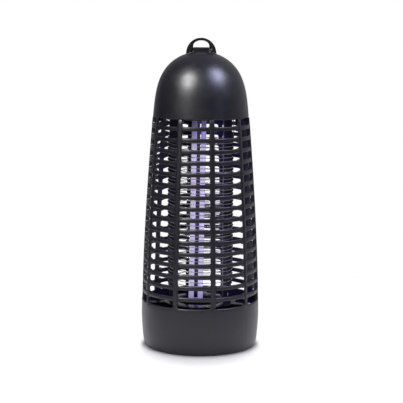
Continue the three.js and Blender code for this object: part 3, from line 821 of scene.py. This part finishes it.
def build_loop(materials):
    """A flat arch with softly rounded edges, and feet turned round the pin to skim the dome."""
    arch_radius, bend_radius = LOOP_HIGH[0], 16.3 * MM
    centre = LOOP_HIGH[2] - bend_radius
    inner_half = KNUCKLE_HALF + 0.35 * MM
    foot = crown_height(arch_radius) - 1 * MM
    hole_centre, hole_height = 330.2 * MM, 5.8 * MM
    start = math.asin((PIVOT_HEIGHT - EYE_RADIUS - centre) / bend_radius)
    steps, hole_steps = 48, 24
    outline = [(arch_radius, foot)]
    for k in range(steps + 1):
        phase = start + (math.pi - 2 * start) * k / steps
        outline.append((bend_radius * math.cos(phase), centre + bend_radius * math.sin(phase)))
    outline += [(-arch_radius, foot), (-inner_half, foot)]
    for k in range(hole_steps + 1):
        phase = math.pi - math.pi * k / hole_steps
        outline.append((inner_half * math.cos(phase), hole_centre + hole_height * math.sin(phase)))
    outline.append((inner_half, foot))
    plate = bmesh.new()
    loft(plate, [[Vector((x, y, z)) for x, z in outline] for y in (-EYE_RADIUS, EYE_RADIUS)], closed=False)
    body = combine(plate, loop_envelope(arch_radius), "INTERSECT")
    dimple_place, dimple_radius, dimple_floor = 10.4 * MM, 1.7 * MM, -0.3 * MM
    open_end = (dimple_place, -2 * EYE_RADIUS, PIVOT_HEIGHT)
    dimple = cylinder_mesh(dimple_radius, open_end, (dimple_place, dimple_floor, PIVOT_HEIGHT), 32)
    body = combine(body, dimple, "DIFFERENCE")
    black = materials["black"]
    arch = finish_mesh("hanging_loop_arch", body, black, LOOP, "hanging_loop", 40.0)
    soften(arch, 0.45 * MM, 4, 50)


def build_pin(materials):
    """Plated pivot pin, domed at both ends. The dome is in shares of the pin's radius."""
    low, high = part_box("loop_pin")
    radius = (high[2] - low[2]) / 2
    dome = [(0.05, 0.0), (0.5, 0.4), (0.9, 0.8), (1.0, 1.4)]
    places = [low[0] + along * radius for _, along in dome]
    places += [high[0] - along * radius for _, along in reversed(dome)]
    widths = [width * radius for width, _ in dome]
    bm = bmesh.new()
    tube(bm, [Vector((x, 0, PIVOT_HEIGHT)) for x in places], widths + widths[::-1], 24)
    finish_mesh("pivot_pin", bm, materials["zinc"], LANTERN, "loop_pin")


# ---- lamp ---------------------------------------------------------------------------------------

LAMP_TOP = Vector((-1.5 * MM, 0, 257.5 * MM))
LAMP_LEAN = math.radians(0.95)
TUBE_RADIUS = 2.9 * MM
TUBE_SPACING = 10.1 * MM
LAMP_MATRIX = Matrix.Translation(LAMP_TOP) @ Matrix.Rotation(LAMP_LEAN, 4, "Y")


def build_lamp(materials):
    """Two straight tubes with round ends, a thin glass bridge between them, and their cap."""
    half = TUBE_SPACING / 2
    top, end = -4.3 * MM, -208.9 * MM
    arc_steps, rows = 8, 24
    outline = [(0.0, end)]
    for k in range(1, arc_steps + 1):
        phase = math.pi / 2 * k / arc_steps
        outline.append((TUBE_RADIUS * math.sin(phase), end + TUBE_RADIUS * (1 - math.cos(phase))))
    start = end + TUBE_RADIUS
    outline += [(TUBE_RADIUS, start + (top - start) * k / rows) for k in range(1, rows + 1)]
    outline.append((0.0, top))
    limbs = bmesh.new()
    for side in (-1, 1):
        limb = bmesh.new()
        spin(limb, outline, 32)
        add_into(limbs, limb, Matrix.Translation((side * half, 0, 0)))
    bridge_radius, bridge_height = 1.2 * MM, end + 1.5 * MM
    bridge = cylinder_mesh(bridge_radius, (-half, 0, bridge_height), (half, 0, bridge_height), 20)
    tubes = combine(limbs, bridge, "UNION")
    bmesh.ops.transform(tubes, matrix=LAMP_MATRIX, verts=tubes.verts)
    finish_mesh("lamp_tubes", tubes, materials["lamp"], LANTERN, "uv_lamp", 60.0)
    cap_size, cap_centre = (16.4 * MM, 7.4 * MM, 6.9 * MM), (0, 0, -3.55 * MM)
    cap = rounded_box_mesh(cap_size, cap_centre, 1.2 * MM, 4)
    bmesh.ops.transform(cap, matrix=LAMP_MATRIX, verts=cap.verts)
    finish_mesh("lamp_end_cap", cap, materials["white"], LANTERN, "lamp_cap")


# ---- high-voltage grid --------------------------------------------------------------------------

GRID_TOP = WIRE_HIGH[2] - WIRE_RADIUS
GRID_BOTTOM = WIRE_LOW[2] + WIRE_RADIUS


def helix_points(start, per_turn=44):
    turns = (GRID_TOP - GRID_BOTTOM) / WIRE_PITCH
    count = round(turns * per_turn)
    points = []
    for k in range(count + 1):
        angle = start + 360 * turns * k / count
        points.append(spot(GRID_RADIUS, angle, GRID_TOP - (GRID_TOP - GRID_BOTTOM) * k / count))
    return points


def build_wires(materials):
    for name, start in (("grid_wire_live", 0), ("grid_wire_return", 180)):
        points = helix_points(start)
        bm = bmesh.new()
        tube(bm, points, [WIRE_RADIUS] * len(points), 8)
        finish_mesh(name + "_coil", bm, materials["steel"], LANTERN, name, 60.0)


def build_post(materials, side, angle):
    """A comb post: a flat bar with a notched outer edge that spaces the wires."""
    bottom, top = (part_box("grid_post_" + side)[i][2] for i in (0, 1))
    inner, outer, tooth, root = 25.2 * MM, 34.3 * MM, 36.2 * MM, GRID_RADIUS - 0.5 * MM
    half, edge = 3 * MM, 0.5 * MM
    notch, slope = 0.75 * MM, 0.25 * MM
    comb_bottom, comb_top = GRID_BOTTOM - 3 * MM, GRID_TOP + 3 * MM
    pitch = WIRE_PITCH / 2
    count = int((GRID_TOP - GRID_BOTTOM) / pitch)
    height = GRID_TOP - (angle % 180) / 360 * WIRE_PITCH - pitch * count
    while height - pitch > GRID_BOTTOM - 2 * MM:
        height -= pitch
    outline = [(inner, bottom), (outer, bottom), (outer, comb_bottom), (tooth, comb_bottom + 1 * MM)]
    while height < GRID_TOP + pitch * 0.6:
        if height - notch > outline[-1][1]:
            outline += [
                (tooth, height - notch - slope), (root, height - notch * 0.6),
                (root, height + notch * 0.6), (tooth, height + notch + slope),
            ]
        height += pitch
    outline += [(tooth, comb_top), (outer, comb_top + 2 * MM), (outer, top), (inner, top)]
    sections = []
    for y, inset in ((-half, edge), (-half + edge, 0), (half - edge, 0), (half, edge)):
        section = []
        for x, z in outline:
            if x > outer:
                x -= inset
            elif x == inner:
                x += inset
            section.append(Vector((x, y, z)))
        sections.append(section)
    bm = bmesh.new()
    loft(bm, sections, closed=False)
    turned(bm, angle)
    node = "grid_post_" + side
    finish_mesh("comb_post_" + side, bm, materials["insulator"], LANTERN, node, 25.0)


def build_spider(materials):
    """Ring and three arms that tie the comb posts together over the tray."""
    inner, outer, overlap, arm_width = 26.5 * MM, 40 * MM, 2 * MM, 9 * MM
    rim = bmesh.new()
    spin(rim, band(inner, outer, SPIDER_BOTTOM, SPIDER_TOP, 0.8 * MM, 3), 120)
    start = outer - overlap
    length = skin_radius(SPIDER_BOTTOM) - WALL - 0.9 * MM - start
    size = (length, arm_width, SPIDER_TOP - SPIDER_BOTTOM)
    centre = (start + length / 2, 0, (SPIDER_TOP + SPIDER_BOTTOM) / 2)
    arms = bmesh.new()
    for angle in BOSS_ANGLES:
        block(arms, size, centre, angle, 0.7 * MM)
    body = combine(rim, arms, "UNION")
    finish_mesh("grid_carrier", body, materials["gloss_black"], LANTERN, "grid_spider")


def build_screw(materials, node):
    """Pan-head screw with a cross recess, from a CAD screw's box."""
    low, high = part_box(node)
    x, y = (low[0] + high[0]) / 2, (low[1] + high[1]) / 2
    head_height, rim, shank, thread = 1.8 * MM, 0.3 * MM, 1.4 * MM, 0.9 * MM
    root, tip = shank * 0.8, shank * 0.35
    radius = (high[0] - low[0]) / 2
    length = high[2] - low[2] - head_height
    outline = [(0.0, 0.0), (tip, 0.0)]
    height = 1.0 * MM
    while height + thread < length - 0.5 * MM:
        outline += [(root, height), (shank, height + thread * 0.5)]
        height += thread
    outline += [(root, length), (radius - 0.25 * MM, length)]
    arc_steps = 6
    for k in range(1, arc_steps):
        phase = k / arc_steps * math.pi / 2
        crown = length + rim + (head_height - rim) * math.sin(phase)
        outline.append((radius * math.cos(phase) ** 0.6, crown))
    outline.append((0.0, length + head_height))
    shaft = bmesh.new()
    spin(shaft, outline, 28)
    wide, narrow, deep = 2.6 * MM, 0.7 * MM, 2 * MM
    cross = []
    for size in ((wide, narrow, deep), (narrow, wide, deep)):
        cross.append(rounded_box_mesh(size, (0, 0, length + head_height), 0.05 * MM, 1))
    body = combine(shaft, combine(*cross, "UNION"), "DIFFERENCE")
    place = Matrix.Translation((x, y, low[2]))
    if not node.startswith(("post_screw_top", "spider_screw")):
        place = Matrix.Translation((x, y, high[2])) @ Matrix.Rotation(math.pi, 4, "X")
    bmesh.ops.transform(body, matrix=place, verts=body.verts)
    finish_mesh(node + "_head", body, materials["screw"], LANTERN, node)


# ---- tray ---------------------------------------------------------------------------------------

def build_tray(materials):
    """A deep cup with a broad base plate, and a foot rim and a stiffening ring under it."""
    plate, _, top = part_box("collection_tray")[1]
    under, floor = SKIRT_BOTTOM, SKIRT_BOTTOM + 1.8 * MM
    radius, wall = 58.2 * MM, 1.6 * MM
    inside = radius - wall
    stiffener = [
        (20 * MM, under), (20.4 * MM, under - 0.4 * MM), (21.6 * MM, under - 0.4 * MM), (22 * MM, under),
    ]
    foot_rim = [
        (50 * MM, under), (50.3 * MM, 0.15 * MM), (50.8 * MM, 0.0),
        (56.2 * MM, 0.0), (56.7 * MM, 0.15 * MM), (57 * MM, under),
    ]
    plate_edge = [
        (plate - 0.5 * MM, under), (plate, under + 0.4 * MM),
        (plate, floor - 0.3 * MM), (plate - 0.3 * MM, floor),
    ]
    cup = [
        (radius, floor), (radius, top - 0.5 * MM), (radius - 0.5 * MM, top),
        (inside + 0.4 * MM, top), (inside, top - 0.4 * MM), (inside - 1 * MM, floor + 6 * MM),
        (inside - 2.2 * MM, floor + 2.6 * MM), (inside - 5 * MM, floor + 0.5 * MM), (inside - 8 * MM, floor),
    ]
    bm = bmesh.new()
    spin(bm, [(0.0, under), *stiffener, *foot_rim, *plate_edge, *cup, (0.0, floor)], 144)
    finish_mesh("tray_cup", bm, materials["charcoal"], TRAY, "collection_tray")


# ---- back fittings ------------------------------------------------------------------------------

def build_switch(materials):
    """A rocker switch let into the back of the dome: its frame, and the key tipped in it."""
    bezel = rounded_box_mesh((12 * MM, 1.5 * MM, 17.6 * MM), (0, 1.35 * MM, 0), 0.6 * MM, 3)
    trunk = rounded_box_mesh((9 * MM, 12 * MM, 14 * MM), (0, -5 * MM, 0), 0.3 * MM, 2)
    well = rounded_box_mesh((6.7 * MM, 9 * MM, 11.6 * MM), (0, 0, 0), 0.3 * MM, 2)
    body = combine(combine(bezel, trunk, "UNION"), well, "DIFFERENCE")
    bmesh.ops.transform(body, matrix=seat_matrix(SWITCH_HEIGHT), verts=body.verts)
    finish_mesh("switch_frame", body, materials["black"], LANTERN, "switch_housing")
    half, half_width, steps = 5 * MM, 2.95 * MM, 14
    dish, rise, back, taper = 0.85 * MM, 0.75 * MM, -1.2 * MM, 0.5 * MM
    shares = [-1 + 2 * k / steps for k in range(steps + 1)]
    outline = [(dish + rise * t * t, half * t) for t in shares]
    outline += [(back, half - taper), (back, -half + taper)]
    key = bmesh.new()
    loft(key, [[Vector((x, y, z)) for y, z in outline] for x in (-half_width, half_width)], closed=False)
    radius, lean = skin_seat(SWITCH_HEIGHT)
    tipped = Matrix.Rotation(lean + math.radians(10), 4, "X")
    place = Matrix.Translation((0, radius + 1.2 * MM, SWITCH_HEIGHT)) @ tipped
    bmesh.ops.transform(key, matrix=place, verts=key.verts)
    black = materials["gloss_black"]
    rocker = finish_mesh("rocker_key", key, black, ROCKER, "switch_rocker", 30.0)
    soften(rocker, 0.25 * MM, 3, 30)


def build_inlet(materials):
    """A rubber bush with a collar on the dome. The outline is radius and height in millimetres."""
    outline = [
        (2.6, -5), (4.0, -5), (4.0, 0.4), (5.7, 0.4), (6.0, 0.7), (5.9, 1.2), (5.1, 2.9),
        (4.6, 3.6), (3.9, 3.95), (3.2, 4.0), (2.8, 3.8), (2.6, 3.4),
    ]
    bm = bmesh.new()
    spin(bm, [(radius * MM, height * MM) for radius, height in outline], 48)
    facing_back = Matrix.Rotation(-math.pi / 2, 3, "X")
    bmesh.ops.rotate(bm, verts=bm.verts, cent=(0, 0, 0), matrix=facing_back)
    bmesh.ops.transform(bm, matrix=seat_matrix(INLET_HEIGHT), verts=bm.verts)
    finish_mesh("inlet_bush", bm, materials["black"], LANTERN, "cord_inlet")


# ---- CAD nodes that stay ------------------------------------------------------------------------

def dress_nodes(materials):
    """Gives the pieces inside their materials and softened edges."""
    kept = {
        "deck_plate": "insulator", "lamp_socket": "white", "circuit_board": "board",
        "transformer_core": "ferrite", "transformer_coil": "copper", "film_capacitor_1": "film",
        "film_capacitor_2": "film", "film_capacitor_3": "film", "filter_capacitor": "black",
        "grid_lead_live": "steel", "grid_lead_return": "steel",
    }
    for node, key in kept.items():
        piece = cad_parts[node]
        piece.data.materials.clear()
        piece.data.materials.append(materials[key])
        soften(piece, 0.25 * MM, 2, 40)


# ---- stage --------------------------------------------------------------------------------------

FLOOR_RADIUS = 0.42
WHITE, COOL, VIOLET = (1, 1, 1), (0.68, 0.71, 1.0), (0.42, 0.30, 1.0)


def pale_floor():
    """A round pale table top, out of sight of the upright faces of the grille."""
    n = Nodes("pale_floor")
    cloud = n.ramp(n.noise(3.0), [(0.3, (0.9, 0.9, 0.9)), (0.7, (0.93, 0.93, 0.93))])
    n.link(cloud, n.shader.inputs["Base Color"])
    n.set(Roughness=0.9)
    bm = bmesh.new()
    bmesh.ops.create_circle(bm, cap_ends=True, cap_tris=True, segments=96, radius=FLOOR_RADIUS)
    mesh = bpy.data.meshes.new("floor")
    bm.to_mesh(mesh)
    bm.free()
    floor = bpy.data.objects.new("floor", mesh)
    mesh.materials.append(n.material)
    bpy.context.scene.collection.objects.link(floor)


def add_light(name, kind, location, color, power):
    data = bpy.data.lights.new(name, kind)
    data.energy = power
    data.color = color
    light = bpy.data.objects.new(name, data)
    light.location = location
    bpy.context.scene.collection.objects.link(light)
    return light


def softbox(name, azimuth, elevation, size, power, color=WHITE):
    """A round soft light that looks at the upper half of the body, and shows only in its gloss."""
    distance, target = 1.3, Vector((0, 0, 0.28))
    a, e = math.radians(azimuth), math.radians(elevation)
    away = Vector((math.sin(a) * math.cos(e), -math.cos(a) * math.cos(e), math.sin(e)))
    light = add_light(name, "AREA", target + away * distance, color, power)
    light.data.shape = "DISK"
    light.data.size = size
    light.rotation_euler = away.to_track_quat("Z", "Y").to_euler()
    light.visible_diffuse = False


def skylight(name, backward, power, width):
    """A broad far light that no surface mirrors. Its lean is counted from overhead to the back."""
    light = add_light(name, "SUN", (0, 0, 2), WHITE, power)
    light.data.angle = math.radians(width)
    light.rotation_euler = (-math.radians(backward), 0, 0)
    light.visible_glossy = False


def room():
    """White behind the lantern. What it mirrors is a dim room, brighter at the back on the right."""
    world = bpy.data.worlds.new("studio")
    bpy.context.scene.world = world
    world.use_nodes = True
    tree = world.node_tree
    tree.nodes.clear()
    add, link = tree.nodes.new, tree.links.new
    output = add("ShaderNodeOutputWorld")
    place = add("ShaderNodeTexCoord")
    toward = add("ShaderNodeVectorMath")
    toward.operation = "DOT_PRODUCT"
    toward.inputs[1].default_value = Vector((0.5, 0.86, 0.0)).normalized()
    link(place.outputs["Generated"], toward.inputs[0])
    ramp = add("ShaderNodeValToRGB")
    link(toward.outputs["Value"], ramp.inputs["Fac"])
    dim, bright = ramp.color_ramp.elements
    dim.position, bright.position = 0.02, 0.95
    dim.color, bright.color = (0.085, 0.085, 0.105, 1), (0.5, 0.5, 0.52, 1)
    mirrored = add("ShaderNodeBackground")
    link(ramp.outputs["Color"], mirrored.inputs["Color"])
    backdrop = add("ShaderNodeBackground")
    backdrop.inputs["Color"].default_value = (*WHITE, 1)
    ray = add("ShaderNodeLightPath")
    mix = add("ShaderNodeMixShader")
    link(ray.outputs["Is Camera Ray"], mix.inputs["Fac"])
    link(mirrored.outputs["Background"], mix.inputs[1])
    link(backdrop.outputs["Background"], mix.inputs[2])
    link(mix.outputs["Shader"], output.inputs["Surface"])


def lamp_glow():
    """Small violet lights along the lamp, before and behind it, that light what is round it."""
    low, high = (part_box("uv_lamp")[i][2] for i in (0, 1))
    count, right, away, radius, power = 6, 5 * MM, 8 * MM, 3 * MM, 0.05
    for side, y in (("front", -away), ("back", away)):
        for k in range(count):
            height = low + (high - low) * (k + 0.5) / count
            glow = add_light(f"lamp_glow_{side}_{k}", "POINT", (right, y, height), VIOLET, power)
            glow.data.shadow_soft_size = radius
            glow.visible_camera = False
            glow.visible_glossy = False


def studio():
    """The room, three softboxes for the gloss, light from overhead and in front, and the lamp's own."""
    room()
    softbox("key_left", -40, 40, 0.42, 33)
    softbox("key_right", 61, 47, 0.60, 28, COOL)
    softbox("streak_left", -32, 8, 0.30, 0.7)
    skylight("sky_wide", 0, 0.6, 160)
    for k, lean in enumerate((2, 6, 11)):
        skylight(f"sky_narrow_{k}", lean, 0.80, 8)
    skylight("front_fill", -62, 1.0, 60)
    lamp_glow()


# ---- build --------------------------------------------------------------------------------------

def main():
    bpy.context.scene.view_settings.view_transform = "Standard"
    add_camera()
    pale_floor()
    studio()
    materials = make_materials()
    build_cage(materials)
    build_dome(materials)
    build_loop(materials)
    build_pin(materials)
    build_lamp(materials)
    build_wires(materials)
    for side, angle in zip(("right", "rear", "left"), POST_ANGLES):
        build_post(materials, side, angle)
    build_spider(materials)
    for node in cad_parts:
        if "screw" in node:
            build_screw(materials, node)
    build_tray(materials)
    build_switch(materials)
    build_inlet(materials)
    dress_nodes(materials)
    bpy.context.view_layer.update()


main()
